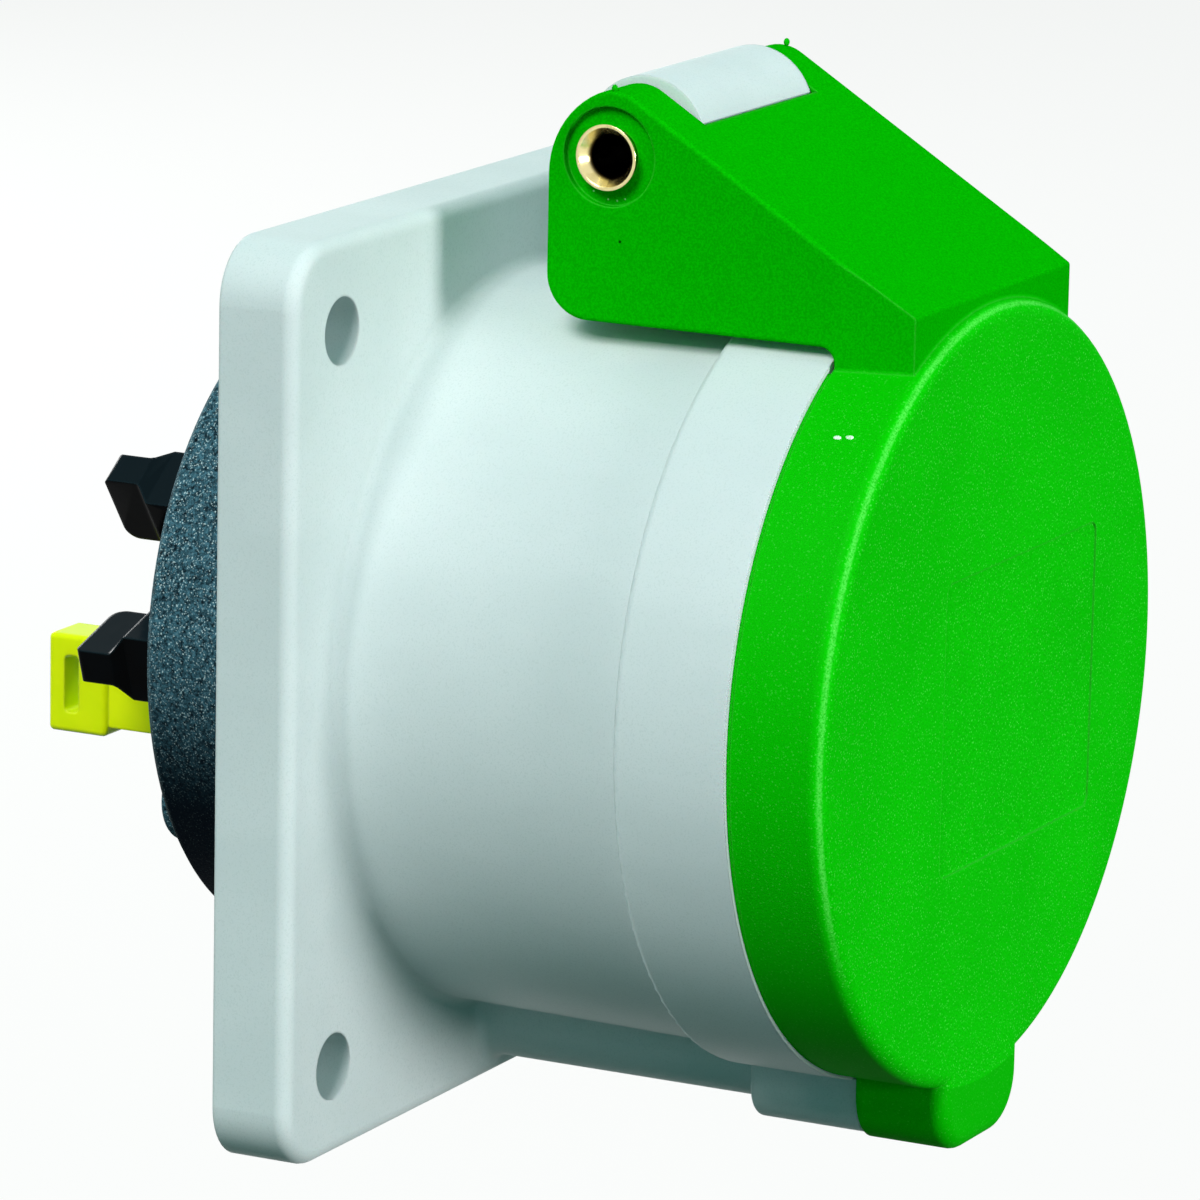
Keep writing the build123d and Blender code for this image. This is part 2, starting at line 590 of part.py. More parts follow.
def contact_insert():
    """Dark moulding inside the mouth, with one stepped hole for each contact."""
    body = disc(INSERT_R, SHOULDER_FRONT_DEPTH, INSERT_FRONT_DEPTH)
    front = body.faces().sort_by(Axis.Y)[0]
    body = chamfer(front.edges(), INSERT_CHAMFER)
    body += disc(SHOULDER_R - FLAT_GAP, SHOULDER_REAR_DEPTH, SHOULDER_FRONT_DEPTH)
    for name, degrees in zip(CONTACT_NAMES, CLOCK_DEGS):
        centre = Pos(*clock_point(CONTACT_CIRCLE_R, degrees))
        cavity_r = pin_radius(name) + SLEEVE_WALL + FIXED_GAP
        cavity_front = sleeve_front(name) + FIXED_GAP
        body -= slab(centre * Circle(cavity_r), SHOULDER_REAR_DEPTH, cavity_front)
        entry_r = pin_radius(name) + ENTRY_HOLE_EXTRA_R
        body -= slab(centre * Circle(entry_r), cavity_front, INSERT_FRONT_DEPTH)
    for degrees in SCREW_CLOCK_DEGS:
        centre = Pos(*clock_point(SCREW_CIRCLE_R, degrees))
        hole = Circle(SCREW_SHANK_R + FIXED_GAP)
        body -= slab(centre * hole, SHOULDER_REAR_DEPTH, SHOULDER_REAR_DEPTH + SCREW_GRIP + FLAT_GAP)
    return body


def contact(name, degrees):
    """Brass contact: slotted sleeve in the insert and a bent tail in the terminal block."""
    bore_r = pin_radius(name) + RUNNING_GAP
    outer_r = pin_radius(name) + SLEEVE_WALL
    foot_front = SHOULDER_REAR_DEPTH - TAIL_SETBACK
    foot_rear = foot_front - TAIL_THICKNESS
    front = sleeve_front(name)
    centre = Pos(0, CONTACT_CIRCLE_R)
    sleeve = slab(centre * Circle(outer_r), SHOULDER_REAR_DEPTH, front)
    slots = Rectangle(2 * outer_r, SLEEVE_SLOT_WIDTH) + Rectangle(SLEEVE_SLOT_WIDTH, 2 * outer_r)
    sleeve -= slab(centre * slots, front - SLEEVE_SLOT_LENGTH, front)
    sleeve -= slab(centre * Circle(bore_r), SHOULDER_REAR_DEPTH + SLEEVE_WALL, front)
    tail_inner_r = POCKET_INNER_R + FLAT_GAP
    foot = Rectangle(2 * TAIL_HALF_WIDTH, TAIL_OUTER_R - tail_inner_r)
    foot = Pos(0, (TAIL_OUTER_R + tail_inner_r) / 2) * foot
    blade = Pos(0, TAIL_OUTER_R - TAIL_THICKNESS / 2) * Rectangle(2 * TAIL_HALF_WIDTH, TAIL_THICKNESS)
    rivet = Pos(0, CONTACT_CIRCLE_R + RIVET_OFFSET) * Circle(RIVET_R)
    tail = slab(foot, foot_rear, foot_front) + slab(blade, -TAIL_TOP_Y, foot_front)
    tail += slab(rivet, foot_rear, SHOULDER_REAR_DEPTH + SLEEVE_WALL)
    return clocked(sleeve + tail, degrees)


def bent_strip(points, thickness, half_width):
    """Strip of sheet that follows points in a side view of Y and Z, with round bends."""
    strip = Sketch()
    for (y_from, z_from), (y_to, z_to) in zip(points, points[1:]):
        length = math.hypot(y_to - y_from, z_to - z_from)
        turn = math.degrees(math.atan2(z_to - z_from, y_to - y_from))
        middle = Pos((y_from + y_to) / 2, (z_from + z_to) / 2)
        strip += middle * Rot(0, 0, turn) * Rectangle(length, thickness)
    for y, z in points[1:-1]:
        strip += Pos(y, z) * Circle(thickness / 2)
    return side_slab(strip, half_width)


def clamp_spring(degrees):
    """Steel spring of one terminal: a base on the tail, a standing leg and a slanting tongue."""
    base_y = -(SHOULDER_REAR_DEPTH - TAIL_SETBACK - TAIL_THICKNESS) + FLAT_GAP + CLAMP_THICKNESS / 2
    standing_r = POCKET_INNER_R + CLAMP_STAND_OFF
    tongue_r = TAIL_OUTER_R - TAIL_THICKNESS - CLAMP_TONGUE_GAP
    top_y = POCKET_TOP_Y - CLAMP_TOP_GAP
    points = [(base_y, tongue_r), (base_y, standing_r), (top_y - CLAMP_BEND_LENGTH, standing_r),
              (top_y, standing_r + CLAMP_BEND_LENGTH), (CLAMP_TIP_Y, tongue_r)]
    return clocked(bent_strip(points, CLAMP_THICKNESS, CLAMP_HALF_WIDTH), degrees)


def slide_sizes(name):
    """Inner radius, outer radius of the stem, and stem thickness of a terminal's slide."""
    if name == EARTH_NAME:
        return EARTH_SLIDE_INNER_R, EARTH_SLIDE_OUTER_R - EARTH_HEAD_OVERHANG, EARTH_STEM_THICKNESS
    return LINE_SLIDE_INNER_R, LINE_SLIDE_OUTER_R - LINE_HEAD_OVERHANG, LINE_STEM_THICKNESS


def stem_sketch(name, gap=0.0):
    """Section of a slide's stem at the top of the clock, or of its slot with a gap."""
    inner_r, stem_outer_r, thickness = slide_sizes(name)
    outline = Rectangle(thickness + 2 * gap, stem_outer_r - inner_r + 2 * gap)
    return Pos(0, (stem_outer_r + inner_r) / 2) * outline


def terminal_block():
    """Black rough moulding behind the panel: pockets, wire holes, slide slots and bosses."""
    body = disc(BLOCK_R, -BLOCK_REAR_Y, SHOULDER_REAR_DEPTH)
    rear = body.faces().sort_by(Axis.Y)[-1]
    body = chamfer(rear.edges(), BLOCK_CHAMFER)
    for degrees in SCREW_CLOCK_DEGS:
        centre = Pos(*clock_point(SCREW_CIRCLE_R, degrees))
        boss = slab(centre * Circle(BOSS_R), -BLOCK_REAR_Y - BOSS_HEIGHT, -BLOCK_REAR_Y)
        boss = fillet(boss.faces().sort_by(Axis.Y)[-1].edges(), BOSS_EDGE_R)
        body += boss
    for degrees in SCREW_CLOCK_DEGS:
        centre = Pos(*clock_point(SCREW_CIRCLE_R, degrees))
        boss_rear = BLOCK_REAR_Y + BOSS_HEIGHT
        seat_hole = Circle(SCREW_HEAD_R + FLAT_GAP)
        body -= slab(centre * seat_hole, -boss_rear, -boss_rear + SCREW_SEAT_DEPTH)
        body -= slab(centre * Circle(SCREW_SHANK_R + FLAT_GAP), -boss_rear, SHOULDER_REAR_DEPTH)
    pocket_length = POCKET_OUTER_R - POCKET_INNER_R
    pocket = Pos(0, POCKET_INNER_R + pocket_length / 2) * Rectangle(2 * POCKET_HALF_WIDTH, pocket_length)
    for name, degrees in zip(CONTACT_NAMES, CLOCK_DEGS):
        body -= clocked(slab(pocket, -POCKET_TOP_Y, SHOULDER_REAR_DEPTH), degrees)
        wire_hole = Pos(0, WIRE_HOLE_CIRCLE_R) * Circle(WIRE_HOLE_R)
        body -= clocked(slab(wire_hole, -BLOCK_REAR_Y, -POCKET_TOP_Y), degrees)
        funnel = flared_mouth(WIRE_HOLE_R, -BLOCK_REAR_Y, WIRE_HOLE_CHAMFER, False)
        body -= clocked(Pos(0, 0, WIRE_HOLE_CIRCLE_R) * funnel, degrees)
        slot = slab(stem_sketch(name, FLAT_GAP), -BLOCK_REAR_Y, SHOULDER_REAR_DEPTH)
        body -= clocked(slot, degrees)
    return body


def line_slide_side():
    """Side view of a line slide: a head with a round inner corner and a slight overhang."""
    head_y = LINE_SLIDE_REAR_Y - LINE_HEAD_LENGTH
    flare_y = head_y - LINE_FLARE_LENGTH
    stem_outer_r = LINE_SLIDE_OUTER_R - LINE_HEAD_OVERHANG
    outline = [(SLIDE_STEM_END_Y, LINE_SLIDE_INNER_R), (LINE_SLIDE_REAR_Y, LINE_SLIDE_INNER_R),
               (LINE_SLIDE_REAR_Y, LINE_SLIDE_OUTER_R), (head_y, LINE_SLIDE_OUTER_R),
               (flare_y, stem_outer_r), (SLIDE_STEM_END_Y, stem_outer_r)]
    face = make_face(Polyline(*outline, close=True))
    for corner, radius in ((outline[1], LINE_HEAD_INNER_R), (outline[2], SLIDE_EDGE_R)):
        face = fillet(face.vertices().sort_by_distance(corner)[0], radius)
    return face


def line_slide_notch():
    """Room beside a line slide's head, in X and Y, where the thick stem narrows to it."""
    head_x = LINE_HEAD_THICKNESS / 2
    stem_x = LINE_STEM_THICKNESS / 2
    head_y = LINE_SLIDE_REAR_Y - LINE_HEAD_LENGTH
    beyond_x = stem_x + OVERRUN
    beyond_y = LINE_SLIDE_REAR_Y + OVERRUN
    outline = Polyline((head_x, head_y), (stem_x, head_y - LINE_FLARE_LENGTH),
                       (beyond_x, head_y - LINE_FLARE_LENGTH), (beyond_x, beyond_y),
                       (head_x, beyond_y), close=True)
    face = make_face(outline)
    return fillet(face.vertices().sort_by_distance((head_x, head_y))[0], LINE_FLARE_R)


def line_slide(degrees):
    """Black release slide: a thick stem that narrows to a thin, slightly overhanging head."""
    body = side_slab(line_slide_side(), LINE_STEM_THICKNESS / 2)
    notch = extrude(Plane.XY * line_slide_notch(), 2 * LINE_SLIDE_OUTER_R, both=True)
    return clocked(body - notch - mirror(notch, Plane.YZ), degrees)


def earth_slide(degrees):
    """Yellow release slide: longer, with a window through its head for a screwdriver."""
    head_front_y = EARTH_SLIDE_REAR_Y - EARTH_HEAD_LENGTH
    stem = slab(stem_sketch("pe"), -head_front_y, -SLIDE_STEM_END_Y)
    height = EARTH_SLIDE_OUTER_R - EARTH_SLIDE_INNER_R
    middle_r = EARTH_SLIDE_INNER_R + height / 2
    block = slab(Pos(0, middle_r) * Rectangle(EARTH_HEAD_THICKNESS, height),
                 -EARTH_SLIDE_REAR_Y, -head_front_y)
    block = fillet(block.edges(), SLIDE_EDGE_R)
    window_y = EARTH_SLIDE_REAR_Y - EARTH_WINDOW_BACK - EARTH_WINDOW_LENGTH / 2
    window = RectangleRounded(EARTH_WINDOW_LENGTH, EARTH_WINDOW_HEIGHT, EARTH_WINDOW_CORNER_R)
    block -= side_slab(Pos(window_y, middle_r) * window, EARTH_HEAD_THICKNESS)
    return clocked(block + stem, degrees)


def release_slide(name, degrees):
    """Slide of one terminal, at its drawn-out rest place."""
    return earth_slide(degrees) if name == EARTH_NAME else line_slide(degrees)


def block_screws():
    """Screws that clamp the housing's shoulder between the block and the insert."""
    seat_y = BLOCK_REAR_Y + BOSS_HEIGHT - SCREW_SEAT_DEPTH
    tip_depth = SHOULDER_REAR_DEPTH + SCREW_GRIP
    screws = []
    for degrees in SCREW_CLOCK_DEGS:
        centre = Pos(*clock_point(SCREW_CIRCLE_R, degrees))
        head = slab(centre * Circle(SCREW_HEAD_R), -seat_y - SCREW_HEAD_HEIGHT, -seat_y)
        head = fillet(head.faces().sort_by(Axis.Y)[-1].edges(), SLIDE_EDGE_R)
        head -= slab(centre * cross_recess(), -seat_y - SCREW_HEAD_HEIGHT, -seat_y - SCREW_HEAD_HEIGHT / 2)
        screws.append(head + slab(centre * Circle(SCREW_SHANK_R), -seat_y, tip_depth))
    return Compound(screws)


def cross_recess():
    """Cross drive in a screw's head."""
    bar = Rectangle(SCREW_RECESS_LENGTH, SCREW_RECESS_WIDTH)
    return bar + Rot(0, 0, 90) * bar


def make_parts():
    """All pieces by node name."""
    parts = {
        "housing": housing(),
        "lid": lid(),
        "lid_seal": lid_seal(),
        "hinge_pin": hinge_pin(),
        "lid_spring": lid_spring(),
        "contact_insert": contact_insert(),
        "terminal_block": terminal_block(),
        "block_screws": block_screws(),
    }
    for name, degrees in zip(CONTACT_NAMES, CLOCK_DEGS):
        parts[f"contact_{name}"] = contact(name, degrees)
        parts[f"clamp_spring_{name}"] = clamp_spring(degrees)
        parts[f"release_slide_{name}"] = release_slide(name, degrees)
    return parts


os.makedirs("parts", exist_ok=True)
for node, shape in make_parts().items():
    export_step(shape, f"parts/{node}.step")
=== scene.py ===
import logging
import math
from dataclasses import dataclass, field
from enum import Enum
from typing import Any, Sequence

import bmesh
import bpy
from mathutils import Matrix, Vector


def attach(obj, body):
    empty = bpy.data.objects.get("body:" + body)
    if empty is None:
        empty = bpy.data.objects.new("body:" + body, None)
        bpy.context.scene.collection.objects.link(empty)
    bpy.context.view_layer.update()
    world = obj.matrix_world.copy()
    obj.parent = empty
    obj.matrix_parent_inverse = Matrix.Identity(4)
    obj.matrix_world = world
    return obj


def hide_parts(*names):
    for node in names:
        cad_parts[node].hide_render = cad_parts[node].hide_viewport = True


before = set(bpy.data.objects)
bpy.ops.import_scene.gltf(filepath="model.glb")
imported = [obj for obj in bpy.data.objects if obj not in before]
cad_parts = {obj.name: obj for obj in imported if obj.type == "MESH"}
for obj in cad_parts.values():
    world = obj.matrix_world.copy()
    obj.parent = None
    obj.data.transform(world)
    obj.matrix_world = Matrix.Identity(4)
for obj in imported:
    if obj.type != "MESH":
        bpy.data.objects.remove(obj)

LOG = logging.getLogger("panel_socket")
MM = 0.001
MM_PER_METRE = 1000.0
WELD_MM = 0.001
PIN_AXIS_MM = (-22.5, 43.25)
EVEN = (1.0, 1.0, 1.0)
CONTACTS = ("pe", "l1", "l2", "l3", "n")

Colour = tuple[float, float, float]


def srgb(red: float, green: float, blue: float) -> Colour:
    """Turns a colour written in 0 to 255 display values into linear values.

    Args:
        red: Red, 0 to 255.
        green: Green, 0 to 255.
        blue: Blue, 0 to 255.

    Returns:
        The same colour in scene-linear values.
    """
    def channel(value: float) -> float:
        """Turns one display value into a linear one."""
        share = value / 255.0
        return share / 12.92 if share <= 0.04045 else ((share + 0.055) / 1.055) ** 2.4

    return channel(red), channel(green), channel(blue)


class Part(Enum):
    """The finishes of the socket's pieces: the record's material slots, and the gate stub's own."""

    HOUSING = "grey_housing"
    LID = "green_lid"
    SEAL = "seal"
    PIN = "brass_pin"
    SPRING = "spring_steel"
    INSERT = "dark_insert"
    BLOCK = "black_block"
    SCREW = "screw_steel"
    CONTACT = "contact_brass"
    BLACK_SLIDE = "black_slide"
    YELLOW_SLIDE = "yellow_slide"
    GATE = "gate_stub"


class Socket:
    """One value in a node graph, with arithmetic that adds Math nodes."""

    def __init__(self, graph: "Graph", output: bpy.types.NodeSocket) -> None:
        """Wraps an output socket of a graph."""
        self.graph = graph
        self.output = output

    def _math(self, operation: str, *values: Any, clamp: bool = False) -> "Socket":
        """Adds a Math node on values and returns its result."""
        node = self.graph.node("ShaderNodeMath", {"operation": operation, "use_clamp": clamp},
                               {i: v for i, v in enumerate(values)})
        return Socket(self.graph, node.outputs[0])

    def __add__(self, other: Any) -> "Socket":
        """self + other."""
        return self._math("ADD", self, other)

    def __radd__(self, other: Any) -> "Socket":
        """other + self."""
        return self._math("ADD", other, self)

    def __sub__(self, other: Any) -> "Socket":
        """self - other."""
        return self._math("SUBTRACT", self, other)

    def __rsub__(self, other: Any) -> "Socket":
        """other - self."""
        return self._math("SUBTRACT", other, self)

    def __mul__(self, other: Any) -> "Socket":
        """self * other."""
        return self._math("MULTIPLY", self, other)

    def __rmul__(self, other: Any) -> "Socket":
        """other * self."""
        return self._math("MULTIPLY", other, self)

    def __pow__(self, other: Any) -> "Socket":
        """self to the power of other."""
        return self._math("POWER", self, other)

    def clamped(self) -> "Socket":
        """self held between 0 and 1."""
        return self._math("ADD", self, 0.0, clamp=True)

    def ramp(self, low: float, high: float) -> "Socket":
        """Smooth step from 0 at low to 1 at high.

        Args:
            low: Value where the step starts.
            high: Value where it ends, which may be below low.

        Returns:
            The stepped value.
        """
        node = self.graph.node("ShaderNodeMapRange", {"interpolation_type": "SMOOTHSTEP"},
                               {"Value": self, "From Min": low, "From Max": high})
        return Socket(self.graph, node.outputs["Result"])

    def band(self, low: float, high: float, soft: float) -> "Socket":
        """1 between low and high, falling to 0 at both over a width of soft."""
        return self.ramp(low, low + soft) * self.ramp(high, high - soft)


class Graph:
    """The node tree of one material, with a Principled shader at its end."""

    def __init__(self, name: str) -> None:
        """Makes an empty material tree called name."""
        self.material = bpy.data.materials.new(name)
        self.material.use_nodes = True
        self.tree = self.material.node_tree
        self.tree.nodes.clear()
        self.shader = self.node("ShaderNodeBsdfPrincipled")
        output = self.node("ShaderNodeOutputMaterial")
        self.tree.links.new(self.shader.outputs[0], output.inputs["Surface"])
        self.place = Socket(self, self.node("ShaderNodeTexCoord").outputs["Object"])

    def node(self, kind: str, settings: dict[str, Any] | None = None,
             values: dict[Any, Any] | None = None) -> bpy.types.Node:
        """Adds any node.

        Args:
            kind: The node's type name.
            settings: Its own settings, set first.
            values: Numbers, colours or links for its inputs, by name or index.

        Returns:
            The new node.
        """
        node = self.tree.nodes.new(kind)
        for key, value in (settings or {}).items():
            setattr(node, key, value)
        for key, value in (values or {}).items():
            self.feed(node.inputs[key], value)
        return node

    def feed(self, target: bpy.types.NodeSocket, value: Any) -> None:
        """Links or sets one input of a node."""
        if isinstance(value, Socket):
            self.tree.links.new(value.output, target)
        elif isinstance(value, tuple) and len(value) == 3 and target.type == "RGBA":
            target.default_value = (*value, 1.0)
        else:
            target.default_value = value

    def scaled_place(self, scale: Sequence[float]) -> Socket:
        """Position in the row's frame with each axis scaled by itself."""
        node = self.node("ShaderNodeVectorMath", {"operation": "MULTIPLY"},
                         {0: self.place, 1: tuple(scale)})
        return Socket(self, node.outputs[0])

    def noise(self, size_mm: float, detail: float = 2.0, roughness: float = 0.5,
              stretch: Sequence[float] = EVEN, offset: float = 0.0) -> Socket:
        """Noise over the position, from 0 to 1.

        Args:
            size_mm: Size of one blotch.
            detail: Octaves of finer noise.
            roughness: Strength of the finer noise.
            stretch: How much longer the blotches are along each axis.
            offset: Shifts the pattern, so that two finishes differ.

        Returns:
            The noise value.
        """
        scale = 1.0 / (size_mm * MM)
        place = self.scaled_place([scale / s for s in stretch])
        if offset:
            shifted = self.node("ShaderNodeVectorMath", {"operation": "ADD"},
                                {0: place, 1: (offset, offset, offset)})
            place = Socket(self, shifted.outputs[0])
        node = self.node("ShaderNodeTexNoise", None,
                         {"Vector": place, "Scale": 1.0, "Detail": detail, "Roughness": roughness})
        return Socket(self, node.outputs["Fac"])

    def cells(self, size_mm: float) -> Socket:
        """Distance to the nearest of many scattered points, in cells."""
        node = self.node("ShaderNodeTexVoronoi", None,
                         {"Vector": self.scaled_place([1.0 / (size_mm * MM)] * 3), "Scale": 1.0})
        return Socket(self, node.outputs["Distance"])

    def spot(self, centre_mm: Sequence[float], radius_mm: float, soft_mm: float = 0.08) -> Socket:
        """1 inside a ball round a point, 0 outside, with a soft rim."""
        away = self.node("ShaderNodeVectorMath", {"operation": "DISTANCE"},
                         {0: self.scaled_place((MM_PER_METRE,) * 3), 1: tuple(centre_mm)})
        return Socket(self, away.outputs["Value"]).ramp(radius_mm + soft_mm, radius_mm - soft_mm)

    def axis(self, name: str) -> Socket:
        """One coordinate of the position, in millimetres."""
        node = self.node("ShaderNodeSeparateXYZ", None, {0: self.scaled_place((MM_PER_METRE,) * 3)})
        return Socket(self, node.outputs[name])

    def radius(self) -> Socket:
        """Distance from the row's front-to-back axis, in millimetres."""
        x, z = self.axis("X"), self.axis("Z")
        return (x * x + z * z) ** 0.5

    def mix(self, factor: Any, first: Any, second: Any) -> Socket:
        """Blends two colours by a factor."""
        node = self.node("ShaderNodeMix", {"data_type": "RGBA"})
        self.feed(node.inputs["Factor"], factor)
        self.feed(next(i for i in node.inputs if i.name == "A" and i.type == "RGBA"), first)
        self.feed(next(i for i in node.inputs if i.name == "B" and i.type == "RGBA"), second)
        return Socket(self, next(o for o in node.outputs if o.type == "RGBA"))

    def upward(self) -> Socket:
        """How far a face looks up, from -1 to 1, in the row's frame."""
        normal = self.node("ShaderNodeTexCoord").outputs["Normal"]
        parts = self.node("ShaderNodeSeparateXYZ", None, {0: Socket(self, normal)})
        return Socket(self, parts.outputs["Z"])

    def edge(self, radius_mm: float) -> tuple[Socket, Socket]:
        """Finds the edges of a piece.

        Args:
            radius_mm: Width of the rounding that an edge is given in its shading.

        Returns:
            A mask that is high on edges, and the rounded normal.
        """
        bevel = self.node("ShaderNodeBevel", {"samples": 4}, {"Radius": radius_mm * MM})
        geometry = self.node("ShaderNodeNewGeometry")
        dot = self.node("ShaderNodeVectorMath", {"operation": "DOT_PRODUCT"},
                        {0: Socket(self, bevel.outputs[0]), 1: Socket(self, geometry.outputs["Normal"])})
        mask = (1.0 - Socket(self, dot.outputs["Value"])).ramp(0.01, 0.22)
        return mask, Socket(self, bevel.outputs[0])

    def bump(self, height: Any, depth_mm: float, strength: float,
             normal: Socket | None = None) -> Socket:
        """Turns a height into a normal.

        Args:
            height: Height, 0 to 1.
            depth_mm: How deep 0 to 1 is.
            strength: Share of the effect.
            normal: Normal that the bump goes on.

        Returns:
            The bumped normal.
        """
        values = {"Height": height, "Distance": depth_mm * MM, "Strength": strength}
        if normal is not None:
            values["Normal"] = normal
        return Socket(self, self.node("ShaderNodeBump", None, values).outputs[0])

    def dress(self, **inputs: Any) -> bpy.types.Material:
        """Feeds the Principled shader; an underscore in a name stands for a space."""
        for key, value in inputs.items():
            self.feed(self.shader.inputs[key.replace("_", " ")], value)
        return self.material


@dataclass(frozen=True)
class MouldedGrey:
    """Semi-gloss light grey moulding of the flange, barrel, collar and hinge lug."""

    base: Colour = srgb(212, 220, 220)
    shade: Colour = srgb(206, 215, 215)
    painted_edge_highlight: Colour = srgb(240, 243, 242)
    grain: Colour = srgb(194, 205, 204)
    roughness: float = 0.42
    dimple_mm: tuple[float, float, float] = (-22.4, -12.0, -18.0)
    dimple_radius_mm: float = 1.1
    collar_highlight_y_mm: tuple[float, float] = (-32.75, -32.2)
    collar_highlight_soft_mm: float = 0.2

    def build(self) -> bpy.types.Material:
        """Makes the material: clouds, fine skin, a sink mark on the barrel, and painted highlights on the
        edges and along the collar's rear edge.
        """
        g = Graph("moulded_grey")
        clouds = g.noise(9.0, 3.0, 0.55, (1.0, 2.2, 1.0))
        skin = g.noise(0.16, 2.0, 0.6)
        edges, rounded = g.edge(0.35)
        # painted highlight: a bright line along the collar's rear edge
        collar_highlight_line = g.axis("Y").band(*self.collar_highlight_y_mm, self.collar_highlight_soft_mm) * edges.ramp(0.05, 0.4)
        colour = g.mix(clouds.ramp(0.3, 0.7), self.shade, self.base)
        colour = g.mix(skin.ramp(0.50, 0.70) * 0.6, colour, self.grain)
        # painted highlight: the edges and the collar's rear line are made paler
        colour = g.mix(edges * 0.2 + collar_highlight_line * 0.8, colour, self.painted_edge_highlight)
        sunk = g.bump(1.0 - g.spot(self.dimple_mm, self.dimple_radius_mm, 0.5), 0.06, 0.8, rounded)
        return g.dress(Base_Color=colour, Roughness=self.roughness + (skin - 0.5) * 0.10 + clouds * 0.05,
                       Normal=g.bump(skin, 0.008, 0.6, sunk), Specular_IOR_Level=0.08,
                       Subsurface_Weight=0.04, Subsurface_Scale=0.001)


@dataclass(frozen=True)
class MouldedGreen:
    """Green moulding: fine spark grain on the cap, smooth skin on the hood and ears."""

    face: Colour = srgb(8, 203, 3)
    cap_dark: Colour = srgb(6, 195, 2)
    rim: Colour = srgb(5, 180, 1)
    hood: Colour = srgb(3, 160, 1)
    hood_grain: Colour = srgb(5, 178, 2)
    painted_highlight: Colour = srgb(96, 226, 88)
    grain_deep: Colour = srgb(4, 168, 1)
    painted_edge_highlight: Colour = srgb(66, 214, 58)
    pale_dot: Colour = srgb(150, 224, 146)
    pit_shade: Colour = srgb(1, 60, 1)
    pit_mm: tuple[float, float, float] = (-15.25, -23.62, 36.56)
    pale_dot_mm: tuple[tuple[float, float, float], ...] = (
        (-14.65, -22.2, 39.75), (-14.65, -23.0, 39.7), (-14.65, -23.7, 39.9), (-14.65, -20.9, 40.3))
    cap_rear_y_mm: tuple[float, float] = (-42.6, -42.2)
    hood_radius_mm: tuple[float, float] = (32.05, 32.3)
    hood_z_mm: tuple[float, float] = (0.0, 4.0)
    rim_radius_mm: tuple[float, float] = (31.75, 31.95)
    front_highlight_radius_mm: tuple[float, float] = (31.35, 31.85)
    front_highlight_soft_mm: float = 0.2
    front_highlight_y_mm: tuple[float, float] = (-49.3, -49.5)
    front_highlight_z_mm: tuple[float, float] = (-20.0, -8.0)

    def build(self) -> bpy.types.Material:
        """Makes the material, with the grain held to the cap by its place."""
        g = Graph("moulded_green")
        y, z, radius = g.axis("Y"), g.axis("Z"), g.radius()
        above_rim = radius.ramp(*self.hood_radius_mm) * z.ramp(*self.hood_z_mm)
        on_hood = (y.ramp(*self.cap_rear_y_mm) + above_rim).clamped()
        grain = g.noise(0.18, 2.0, 0.7)
        sparks = g.cells(0.26)
        clouds = g.noise(14.0, 2.0, 0.5)
        edges, rounded = g.edge(0.30)
        colour = g.mix(clouds.ramp(0.3, 0.7), self.cap_dark, self.face)
        on_cap = 1.0 - on_hood
        colour = g.mix(grain.ramp(0.52, 0.34) * on_cap * 0.7, colour, self.grain_deep)
        on_rim = radius.ramp(*self.rim_radius_mm) * on_cap
        colour = g.mix(on_rim * 0.8, colour, self.rim)
        # painted glints: pale points on the cap's grain, weaker on the rim
        painted_glints = (1.0 - sparks.ramp(0.14, 0.42)) * grain.ramp(0.46, 0.62) * (on_cap - on_rim * 0.6)
        colour = g.mix(painted_glints * 0.75, colour, self.painted_highlight)
        # painted highlight: a bright line round the lid's front edge, fading out towards the bottom
        front_edge_highlight = radius.band(*self.front_highlight_radius_mm, self.front_highlight_soft_mm)
        front_edge_highlight = front_edge_highlight * y.ramp(*self.front_highlight_y_mm) * z.ramp(*self.front_highlight_z_mm)
        colour = g.mix(front_edge_highlight * (grain.ramp(0.35, 0.6) * 0.5 + 0.15), colour, self.painted_highlight)
        colour = g.mix(on_hood, colour, g.mix(grain.ramp(0.40, 0.62), self.hood, self.hood_grain))
        # painted highlight: the lid's edges are made paler
        colour = g.mix(edges * 0.55, colour, self.painted_edge_highlight)
        # small pale dots on the floor of the ear's recess, below the pin
        for place in self.pale_dot_mm:
            colour = g.mix(g.spot(place, 0.07, 0.05) * 0.8, colour, self.pale_dot)
        # painted shade: a dark spot in a tiny pit on the ear's side
        colour = g.mix(g.spot(self.pit_mm, 0.12, 0.05), colour, self.pit_shade)
        cap_relief = g.bump(grain * on_cap, 0.05, 0.6, rounded)
        roughness = 0.50 - on_hood * 0.14 + (grain - 0.5) * 0.12
        return g.dress(Base_Color=colour, Roughness=roughness, Normal=cap_relief,
                       Specular_IOR_Level=0.0, Coat_Weight=on_cap * 0.22, Coat_Roughness=0.55, Coat_IOR=1.2,
                       Subsurface_Weight=0.05, Subsurface_Scale=0.001)


